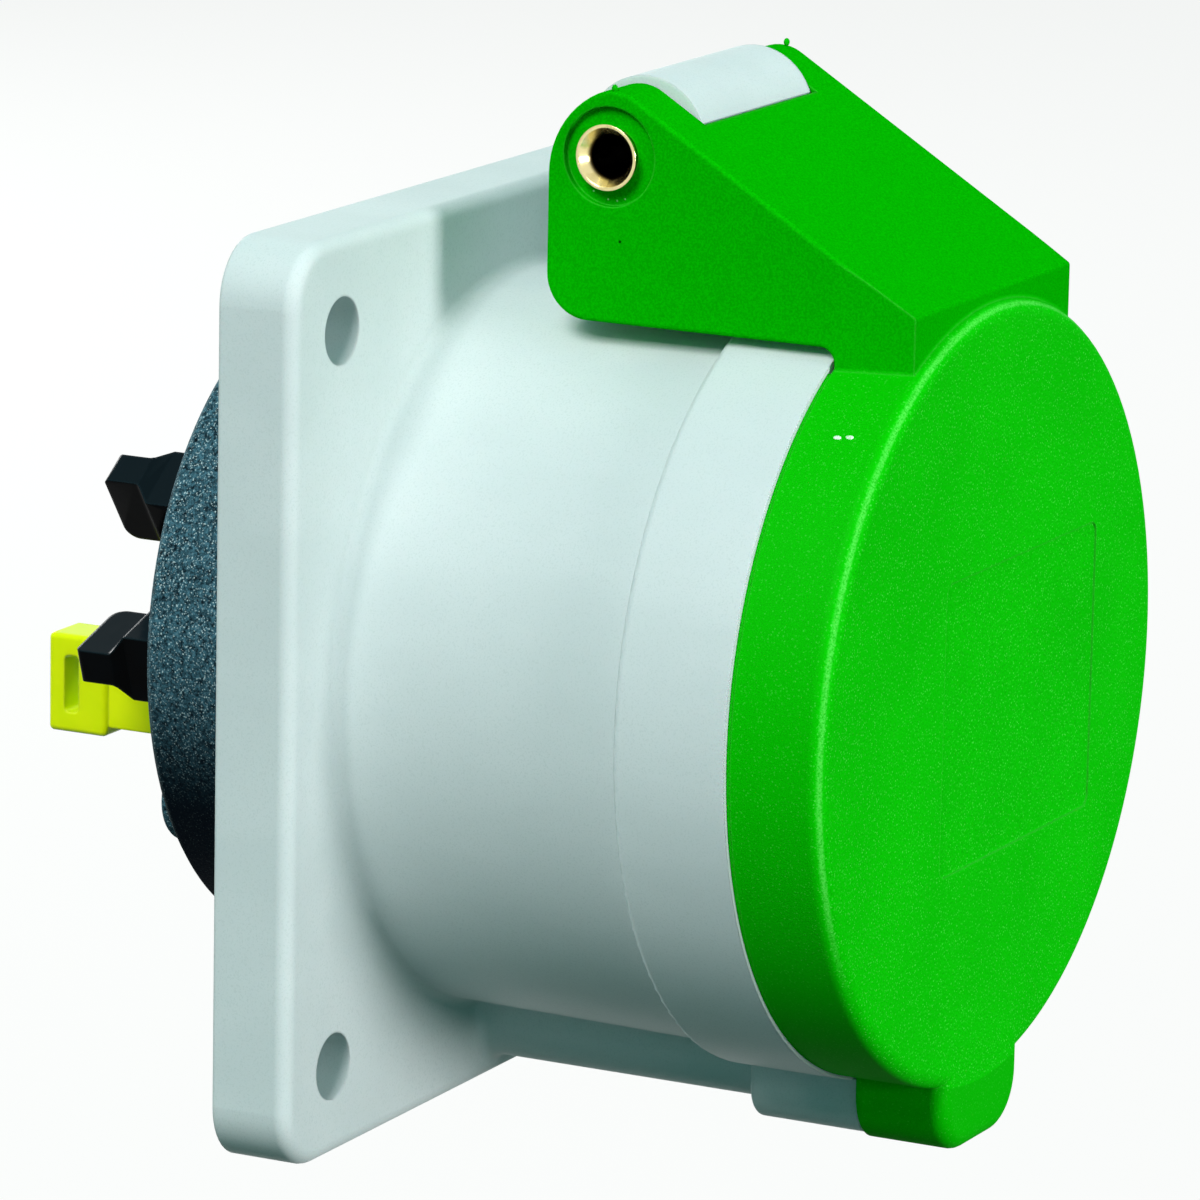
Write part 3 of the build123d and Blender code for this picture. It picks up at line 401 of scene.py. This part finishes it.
@dataclass(frozen=True)
class RoughBlack:
    """Rough, speckled, glass-filled moulding of the terminal block and the insert."""

    name: str
    dark: Colour
    light: Colour
    speck: Colour
    speck_share: float = 0.5
    depth_mm: float = 0.05
    # painted shade: height where the round side darkens
    painted_shade_below_mm: float = -90.0
    painted_shade_soft_mm: float = 8.0
    round_side_mm: tuple[float, float] = (26.8, 26.4)

    def build(self) -> bpy.types.Material:
        """Makes the material: pale fibre specks that also stand in for glints, and painted shade that
        darkens the round side towards the bottom.
        """
        g = Graph(self.name)
        coarse = g.noise(0.45, 4.0, 0.75)
        fine = g.noise(0.18, 2.0, 0.7, EVEN, 5.0)
        specks = g.cells(0.20)
        edges, rounded = g.edge(0.35)
        colour = g.mix(coarse.ramp(0.3, 0.7), self.dark, self.light)
        colour = g.mix(fine.ramp(0.52, 0.36) * 0.6, colour, self.dark)
        # painted shade: the round side darkens towards the bottom
        low, high = self.painted_shade_below_mm - self.painted_shade_soft_mm, self.painted_shade_below_mm + self.painted_shade_soft_mm
        skin = (g.axis("Z").ramp(low, high) + g.radius().ramp(*self.round_side_mm)).clamped()
        colour = g.mix(skin, self.dark, colour)
        # pale fibre specks, which also stand in for glints; the painted shade fades them towards the bottom
        pale = (1.0 - specks.ramp(0.20, 0.46)) * fine.ramp(0.46, 0.60) * (skin * 0.95 + 0.05)
        colour = g.mix(pale * self.speck_share, colour, self.speck)
        # painted highlight: the edges take the speck colour
        colour = g.mix(edges * 0.35, colour, self.speck)
        relief = g.bump(coarse, self.depth_mm * 2.0, 0.6, rounded)
        relief = g.bump(fine, self.depth_mm, 0.9, relief)
        return g.dress(Base_Color=colour, Roughness=0.62 + (fine - 0.5) * 0.3, Normal=relief,
                       Specular_IOR_Level=0.01)


@dataclass(frozen=True)
class GlossMoulding:
    """Glossy moulding of the release slides, with painted highlights on their edges."""

    name: str
    base: Colour
    shade: Colour
    painted_edge_highlight: Colour
    roughness: float = 0.22
    glow: float = 0.0
    gloss: float = 0.12
    top_sheen: Colour | None = None

    def build(self) -> bpy.types.Material:
        """Makes the material: smooth skin with slight sink waves, and a painted sheen on upward faces if
        asked.
        """
        g = Graph(self.name)
        waves = g.noise(3.0, 2.0, 0.5)
        fine = g.noise(0.2, 2.0, 0.6, EVEN, 9.0)
        edges, rounded = g.edge(0.3)
        colour = g.mix(waves.ramp(0.35, 0.65), self.shade, self.base)
        # painted sheen: upward faces are made paler
        if self.top_sheen:
            colour = g.mix(g.upward().ramp(0.1, 0.9), colour, self.top_sheen)
        # painted highlight: the slides' edges are made paler
        colour = g.mix(edges * 0.3, colour, self.painted_edge_highlight)
        relief = g.bump(waves, 0.06, 0.5, rounded)
        relief = g.bump(fine, 0.006, 0.5, relief)
        return g.dress(Base_Color=colour, Roughness=self.roughness + (fine - 0.5) * 0.12, Normal=relief,
                       Specular_IOR_Level=self.gloss,
                       Subsurface_Weight=self.glow, Subsurface_Scale=0.0015,
                       Subsurface_Radius=(1.0, 1.0, 0.15))


@dataclass(frozen=True)
class WorkedMetal:
    """Drawn, turned or wound metal, with fine lines along one axis."""

    name: str
    base: Colour
    dull: Colour
    line_axis: tuple[float, float, float]
    roughness: float = 0.22
    line_mm: float = 0.08
    bore_mm: float = 0.0
    bore_soft_mm: float = 0.25
    bore_shade: Colour = (0.02, 0.013, 0.004)

    def build(self) -> bpy.types.Material:
        """Makes the material: fine lines, tarnish, bright edges and a dark bore round the pin's axis."""
        g = Graph(self.name)
        lines = g.noise(self.line_mm, 2.0, 0.6, self.line_axis)
        tarnish = g.noise(1.4, 3.0, 0.6, EVEN, 2.0)
        edges, rounded = g.edge(0.12)
        colour = g.mix(tarnish.ramp(0.45, 0.75) * 0.6, self.base, self.dull)
        colour = g.mix(edges * 0.4, colour, self.base)
        if self.bore_mm:
            pin_y, pin_z = PIN_AXIS_MM
            across = ((g.axis("Y") - pin_y) ** 2.0 + (g.axis("Z") - pin_z) ** 2.0) ** 0.5
            in_bore = across.ramp(self.bore_mm + self.bore_soft_mm, self.bore_mm)
            colour = g.mix(in_bore, colour, self.bore_shade)
        relief = g.bump(lines, 0.004, 0.6, rounded)
        roughness = self.roughness + tarnish.ramp(0.4, 0.8) * 0.14 + (lines - 0.5) * 0.10
        return g.dress(Base_Color=colour, Metallic=1.0, Roughness=roughness, Normal=relief)


@dataclass(frozen=True)
class SoftRubber:
    """Matt black elastomer of the lid's seal."""

    base: Colour = srgb(26, 27, 28)
    bloom: Colour = srgb(52, 54, 55)

    def build(self) -> bpy.types.Material:
        """Makes the material: a pale bloom over a fine matt skin."""
        g = Graph("soft_rubber")
        bloom = g.noise(2.2, 4.0, 0.6)
        skin = g.noise(0.12, 2.0, 0.6, EVEN, 4.0)
        colour = g.mix(bloom.ramp(0.4, 0.7) * 0.6, self.base, self.bloom)
        return g.dress(Base_Color=colour, Roughness=0.72 + (bloom - 0.5) * 0.2,
                       Normal=g.bump(skin, 0.01, 0.6), IOR=1.45)


@dataclass(frozen=True)
class StressWhiteHighlight:
    """Green moulding that was torn off and went pale; its paleness also serves as a painted highlight."""

    pale: Colour = srgb(238, 250, 238)
    green: Colour = srgb(70, 214, 64)

    def build(self) -> bpy.types.Material:
        """Makes the material: pale, with green left in its hollows."""
        g = Graph("stress_white_highlight")
        torn = g.noise(0.12, 3.0, 0.6)
        # pale partly as stress-whitening, partly as a painted highlight
        return g.dress(Base_Color=g.mix(torn.ramp(0.35, 0.55), self.green, self.pale),
                       Roughness=0.35 + torn * 0.2, Normal=g.bump(torn, 0.02, 0.7), Specular_IOR_Level=0.3)


FINISHES: dict[Part, Any] = {
    Part.HOUSING: MouldedGrey(),
    Part.LID: MouldedGreen(),
    Part.SEAL: SoftRubber(),
    Part.PIN: WorkedMetal("pin_brass", (0.86, 0.76, 0.38), (0.62, 0.52, 0.20), (40.0, 1.0, 1.0), 0.16,
                          bore_mm=1.75),
    Part.SPRING: WorkedMetal("spring_wire", (0.62, 0.63, 0.65), (0.34, 0.34, 0.36),
                             (1.0, 30.0, 1.0), 0.26),
    Part.INSERT: RoughBlack("dark_insert", srgb(34, 38, 41), srgb(46, 51, 54), srgb(98, 104, 106),
                            speck_share=0.25, depth_mm=0.02),
    Part.BLOCK: RoughBlack("rough_block", srgb(4, 12, 20), srgb(78, 122, 138), srgb(210, 230, 232),
                           speck_share=0.8, depth_mm=0.05, painted_shade_below_mm=-5.0),
    Part.SCREW: WorkedMetal("zinc_steel", (0.72, 0.73, 0.72), (0.45, 0.45, 0.42), EVEN, 0.30),
    Part.CONTACT: WorkedMetal("contact_brass", (0.82, 0.68, 0.40), (0.52, 0.40, 0.20),
                              (1.0, 40.0, 1.0), 0.24),
    Part.BLACK_SLIDE: GlossMoulding("black_moulding", srgb(2, 5, 8), srgb(1, 2, 3), srgb(44, 70, 78),
                                    roughness=0.15, gloss=0.02, top_sheen=srgb(14, 26, 31)),
    Part.GATE: StressWhiteHighlight(),
    Part.YELLOW_SLIDE: GlossMoulding("yellow_moulding", srgb(240, 255, 6), srgb(234, 252, 2),
                                     srgb(250, 255, 90), roughness=0.24, glow=0.25),
}


@dataclass
class Wardrobe:
    """Builds each finish once and puts it on pieces."""

    made: dict[Part, bpy.types.Material] = field(default_factory=dict)

    def get(self, part: Part) -> bpy.types.Material:
        """The material of a finish, built at its first use."""
        if part not in self.made:
            self.made[part] = FINISHES[part].build()
        return self.made[part]

    def dress(self, piece: bpy.types.Object, part: Part) -> None:
        """Gives the whole of a piece one finish."""
        piece.data.materials.clear()
        piece.data.materials.append(self.get(part))


@dataclass
class Mesher:
    """Turns meshes into smooth pieces that ride on a body."""

    wardrobe: Wardrobe

    def piece(self, name: str, mesh: bmesh.types.BMesh, body: str, part: Part,
              slot: Part) -> bpy.types.Object:
        """Makes a piece.

        Args:
            name: The piece's name.
            mesh: Its mesh in the row's frame, in metres; it is freed here.
            body: The CAD body that it rides on.
            part: Its finish.
            slot: The record's material slot that it belongs to; not used.

        Returns:
            The new object.
        """
        data = bpy.data.meshes.new(name)
        bmesh.ops.recalc_face_normals(mesh, faces=mesh.faces)
        mesh.to_mesh(data)
        mesh.free()
        for polygon in data.polygons:
            polygon.use_smooth = True
        piece = bpy.data.objects.new(name, data)
        bpy.context.scene.collection.objects.link(piece)
        self.wardrobe.dress(piece, part)
        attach(piece, body)
        LOG.info("piece %s rides on %s", name, body)
        return piece

    def grain(self, name: str, centre_mm: Sequence[float], half_sizes_mm: Sequence[float],
              turn: Matrix, part: Part) -> None:
        """Adds a small flattened ball that rides on the lid.

        Args:
            name: The piece's name.
            centre_mm: Its centre.
            half_sizes_mm: Half of its size along each of its own axes.
            turn: How its own axes stand.
            part: Its finish.
        """
        size = Matrix.Diagonal((*(v * MM for v in half_sizes_mm), 1.0))
        mesh = bmesh.new()
        bmesh.ops.create_icosphere(mesh, subdivisions=3, radius=1.0,
                                   matrix=Matrix.Translation(Vector(centre_mm) * MM) @ turn @ size)
        self.piece(name, mesh, "lid", part, Part.LID)


@dataclass
class GateMarks:
    """Two tiny stress-whitened stubs that the mould's gate left on the lid's rim, pale also as a painted
    highlight.
    """

    mesher: Mesher
    centres_mm: tuple[tuple[float, float, float], ...] = ((-20.97, -45.75, 24.17), (-20.85, -46.75, 24.27))
    half_sizes_mm: tuple[float, float, float] = (0.34, 0.20, 0.10)

    def build(self) -> None:
        """Lays each stub on the rim as a flat grain with its thin side outward."""
        for index, centre in enumerate(self.centres_mm):
            outward = Vector((centre[0], 0.0, centre[2])).normalized()
            across = Vector((0.0, -1.0, 0.0))
            turn = Matrix((across, outward.cross(across), outward)).transposed().to_4x4()
            self.mesher.grain(f"gate_stub_{index + 1}", centre, self.half_sizes_mm, turn, Part.GATE)


@dataclass
class LidSpring:
    """The lid spring in two pieces: the coil stays, the long leg follows the lid."""

    mesher: Mesher
    axis_mm: tuple[float, float] = PIN_AXIS_MM
    tip_mm: tuple[float, float] = (-41.24, 35.17)
    coil_mm: float = 2.95
    wire_mm: float = 0.45
    slant: float = 0.081
    slack_mm: float = 0.13
    tip_band_mm: float = 0.6

    def tangents(self) -> list[tuple[Vector, Vector]]:
        """Both lines from the coil's circle to the leg's tip, as a foot and a direction."""
        reach = Vector(self.tip_mm) - Vector(self.axis_mm)
        across = Vector((-reach.y, reach.x))
        length = math.sqrt(reach.length_squared - self.coil_mm ** 2)
        lines = []
        for side in (1.0, -1.0):
            foot = (reach * self.coil_mm ** 2 + across * side * self.coil_mm * length) / reach.length_squared
            lines.append((foot + Vector(self.axis_mm), (reach - foot).normalized()))
        return lines

    def on_leg(self, place: Vector, line: tuple[Vector, Vector], middle: float) -> bool:
        """Whether a point lies on the long leg.

        Args:
            place: The point, in millimetres.
            line: Foot and direction of the leg's middle line, seen from the side.
            middle: The leg's place from left to right at its tip.

        Returns:
            True where the point is on the leg.
        """
        foot, direction = line
        away = Vector((place.y, place.z)) - foot
        along = away.dot(direction)
        beside = away - direction * along
        length = (Vector(self.tip_mm) - foot).length
        sideways = place.x - middle - self.slant * (length - along)
        if along <= -self.slack_mm:
            return False
        return math.hypot(beside.length, sideways) < self.wire_mm + self.slack_mm

    def part(self, name: str, body: str, leg: bool) -> None:
        """Makes one of the two pieces from the CAD spring.

        Args:
            name: The piece's name.
            body: The body that it rides on.
            leg: Whether the leg is kept, or else the coil.
        """
        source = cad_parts["lid_spring"]
        mesh = bmesh.new()
        mesh.from_mesh(source.data)
        mesh.transform(source.matrix_world)
        bmesh.ops.remove_doubles(mesh, verts=mesh.verts, dist=WELD_MM * MM)
        places = {v: v.co / MM for v in mesh.verts}
        tip = min(places.values(), key=lambda v: v.y)
        near_tip = [v.x for v in places.values() if v.y < tip.y + self.tip_band_mm]
        middle = sum(near_tip) / len(near_tip)
        line = max(self.tangents(),
                   key=lambda one: sum(self.on_leg(v, one, middle) for v in places.values()))
        held = {v for v in mesh.verts if self.on_leg(places[v], line, middle)}
        gone = [f for f in mesh.faces if all(v in held for v in f.verts) != leg]
        bmesh.ops.delete(mesh, geom=gone, context="FACES")
        bmesh.ops.holes_fill(mesh, edges=[e for e in mesh.edges if e.is_boundary])
        piece = self.mesher.piece(name, mesh, body, Part.SPRING, Part.SPRING)
        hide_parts("lid_spring")

    def build(self) -> None:
        """Makes both pieces."""
        self.part("lid_spring_coil", "socket", False)
        self.part("lid_spring_leg", "lid", True)


@dataclass
class FlashNibs:
    """Small nibs of flash on the tops of the lid's two ears."""

    mesher: Mesher
    centres_mm: tuple[tuple[float, float, float], ...] = ((-14.85, -22.7, 48.66), (14.7, -23.4, 48.74))
    half_sizes_mm: tuple[float, float, float] = (0.30, 0.24, 0.33)

    def build(self) -> None:
        """Sets each nib on its ear as a small grain."""
        for index, centre in enumerate(self.centres_mm):
            upright = Matrix.Identity(4)
            self.mesher.grain(f"flash_nib_{index + 1}", centre, self.half_sizes_mm, upright, Part.LID)


@dataclass
class RimLip:
    """Thin lip on the back of the lid's rim, which closes the gap to the collar."""

    mesher: Mesher
    inner_mm: float = 30.95
    outer_mm: float = 31.97
    rear_y_mm: float = -42.5
    reach_mm: float = 0.27
    low_angle: float = -70.0
    high_angle: float = 61.0
    steps: int = 110

    def build(self) -> None:
        """Makes one arc on either side, between the hood and the key lobe."""
        collar_y = self.rear_y_mm + self.reach_mm
        section = ((self.inner_mm, self.rear_y_mm), (self.outer_mm, self.rear_y_mm),
                   (self.outer_mm, collar_y), (self.inner_mm, collar_y))
        for name, side in (("rim_lip_left", -1.0), ("rim_lip_right", 1.0)):
            mesh = bmesh.new()
            rings = []
            for step in range(self.steps + 1):
                share = step / self.steps
                angle = math.radians(self.low_angle * (1.0 - share) + self.high_angle * share)
                across, up = side * math.cos(angle), math.sin(angle)
                rings.append([mesh.verts.new((radius * across * MM, y * MM, radius * up * MM))
                              for radius, y in section])
            for first, second in zip(rings, rings[1:]):
                for i in range(len(section)):
                    j = (i + 1) % len(section)
                    mesh.faces.new((first[i], first[j], second[j], second[i]))
            mesh.faces.new(rings[0])
            mesh.faces.new(rings[-1])
            self.mesher.piece(name, mesh, "lid", Part.LID, Part.LID)


@dataclass
class CadDress:
    """Gives every CAD node that stays its finish."""

    wardrobe: Wardrobe
    finishes: dict[str, Part] = field(default_factory=lambda: {
        "housing": Part.HOUSING, "lid": Part.LID, "lid_seal": Part.SEAL, "hinge_pin": Part.PIN,
        "contact_insert": Part.INSERT, "terminal_block": Part.BLOCK,
        "block_screws": Part.SCREW})
    soft_mm: float = 0.5
    soft_steps: int = 4
    sharp_degrees: float = 32.0

    def soften(self, piece: bpy.types.Object) -> None:
        """Joins a piece's split points and rounds its sharp edges."""
        weld = piece.modifiers.new("weld", "WELD")
        weld.merge_threshold = WELD_MM * MM
        bevel = piece.modifiers.new("soft_edges", "BEVEL")
        bevel.width = self.soft_mm * MM
        bevel.segments = self.soft_steps
        bevel.limit_method = "ANGLE"
        bevel.angle_limit = math.radians(self.sharp_degrees)

    def build(self) -> None:
        """Dresses the nodes, those of the five terminals too, and rounds the black slides."""
        finishes = dict(self.finishes)
        for name in CONTACTS:
            finishes[f"contact_{name}"] = Part.CONTACT
            finishes[f"clamp_spring_{name}"] = Part.SPRING
            finishes[f"release_slide_{name}"] = Part.YELLOW_SLIDE if name == "pe" else Part.BLACK_SLIDE
        for node, part in finishes.items():
            self.wardrobe.dress(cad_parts[node], part)
            if part is Part.BLACK_SLIDE:
                self.soften(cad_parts[node])
            LOG.info("node %s wears %s", node, part.value)


@dataclass(frozen=True)
class Lamp:
    """One square soft lamp: its name, its place and side in metres, and its power."""

    name: str
    place: tuple[float, float, float]
    side: float
    watts: float


@dataclass
class Studio:
    """Camera, floor, world and lamps."""

    camera_place: tuple[float, float, float] = (-0.5546, -0.2973, 0.1431)
    camera_right: tuple[float, float, float] = (0.4577, -0.8889, 0.0192)
    camera_down: tuple[float, float, float] = (-0.1859, -0.1169, -0.9756)
    camera_ahead: tuple[float, float, float] = (0.8694, 0.4430, -0.2187)
    lens: float = 232.9
    sensor: float = 36.0
    clip: tuple[float, float] = (0.01, 50.0)
    floor_z: float = -0.16
    floor_half: float = 6.0
    aim: tuple[float, float, float] = (0.0, -0.02, 0.0)
    white: Colour = srgb(252, 251, 250)
    sky: Colour = (0.13, 0.33, 0.31)
    floor_light: Colour = srgb(98, 98, 98)
    floor_dark: Colour = srgb(94, 94, 94)
    floor_bounce: Colour = (0.005, 0.045, 0.035)
    floor_glow: float = 0.868
    lamps: tuple[Lamp, ...] = (
        Lamp("front", (-0.13, -1.295, 0.16), 0.3, 11.8),
        Lamp("left", (-0.93, 0.0, 0.88), 0.5, 13.6),
        Lamp("back", (0.75, 1.05, 0.42), 0.6, 12.0))

    def camera(self) -> None:
        """Puts the camera where the photograph was taken from."""
        data = bpy.data.cameras.new("camera")
        data.lens = self.lens
        data.sensor_width = self.sensor
        data.clip_start, data.clip_end = self.clip
        camera = bpy.data.objects.new("camera", data)
        right, down, ahead = (Vector(v) for v in (self.camera_right, self.camera_down, self.camera_ahead))
        turn = Matrix((right, -down, -ahead)).transposed()
        camera.matrix_world = Matrix.Translation(self.camera_place) @ turn.to_4x4()
        bpy.context.scene.collection.objects.link(camera)
        bpy.context.scene.camera = camera

    @staticmethod
    def seen(g: Graph) -> Socket:
        """1 for rays from the camera, from gloss and through clear things, else 0."""
        rays = g.node("ShaderNodeLightPath")
        camera, gloss, clear = (Socket(g, rays.outputs[f"Is {kind} Ray"])
                                for kind in ("Camera", "Glossy", "Transmission"))
        return (camera + gloss + clear).clamped()

    def floor_material(self) -> bpy.types.Material:
        """Pale matt floor that keeps the shadow and bounces little light up at the object."""
        g = Graph("pale_floor")
        seen = self.seen(g)
        fine = g.noise(2.0, 3.0, 0.6)
        pale = g.mix(fine * 0.05, self.floor_light, self.floor_dark)
        return g.dress(Base_Color=g.mix(seen, self.floor_bounce, pale), Roughness=0.95,
                       Specular_IOR_Level=0.0, Emission_Color=self.white,
                       Emission_Strength=seen * self.floor_glow)

    def floor(self) -> None:
        """Lays the plain pale floor under the object."""
        mesh = bmesh.new()
        half = self.floor_half
        corners = [mesh.verts.new((x, y, self.floor_z))
                   for x, y in ((-half, -half), (half, -half), (half, half), (-half, half))]
        mesh.faces.new(corners)
        data = bpy.data.meshes.new("floor")
        mesh.to_mesh(data)
        mesh.free()
        floor = bpy.data.objects.new("floor", data)
        data.materials.append(self.floor_material())
        bpy.context.scene.collection.objects.link(floor)

    def light(self, lamp: Lamp) -> None:
        """Hangs one lamp up, facing the object."""
        data = bpy.data.lights.new(lamp.name, "AREA")
        data.size = lamp.side
        data.energy = lamp.watts
        hung = bpy.data.objects.new(lamp.name, data)
        hung.location = lamp.place
        direction = Vector(self.aim) - Vector(lamp.place)
        hung.rotation_euler = direction.to_track_quat("-Z", "Y").to_euler()
        bpy.context.scene.collection.objects.link(hung)

    def world(self) -> None:
        """Soft light from all sides, with a white background behind the floor."""
        world = bpy.data.worlds.new("studio")
        world.use_nodes = True
        tree = world.node_tree
        soft = tree.nodes["Background"]
        soft.inputs["Color"].default_value = (*self.sky, 1.0)
        bright = tree.nodes.new("ShaderNodeBackground")
        bright.inputs["Color"].default_value = (*self.white, 1.0)
        rays = tree.nodes.new("ShaderNodeLightPath")
        seen = rays.outputs["Is Camera Ray"]
        for kind in ("Is Glossy Ray", "Is Transmission Ray"):
            either = tree.nodes.new("ShaderNodeMath")
            either.operation = "MAXIMUM"
            tree.links.new(seen, either.inputs[0])
            tree.links.new(rays.outputs[kind], either.inputs[1])
            seen = either.outputs[0]
        mix = tree.nodes.new("ShaderNodeMixShader")
        tree.links.new(seen, mix.inputs[0])
        tree.links.new(soft.outputs[0], mix.inputs[1])
        tree.links.new(bright.outputs[0], mix.inputs[2])
        tree.links.new(mix.outputs[0], tree.nodes["World Output"].inputs["Surface"])
        bpy.context.scene.world = world

    def build(self) -> None:
        """Sets the whole studio up."""
        self.camera()
        self.floor()
        self.world()
        for lamp in self.lamps:
            self.light(lamp)
        bpy.context.scene.view_settings.view_transform = "Standard"


def corners(low: Vector, high: Vector) -> list[list[float]]:
    """Two corners as plain lists of numbers."""
    return [[round(v, 6) for v in low], [round(v, 6) for v in high]]


def main() -> None:
    """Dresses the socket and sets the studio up."""
    logging.basicConfig(level=logging.INFO, format="%(message)s")
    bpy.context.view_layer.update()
    wardrobe = Wardrobe()
    CadDress(wardrobe).build()
    mesher = Mesher(wardrobe)
    LidSpring(mesher).build()
    GateMarks(mesher).build()
    FlashNibs(mesher).build()
    RimLip(mesher).build()
    Studio().build()


if __name__ == "__main__":
    main()
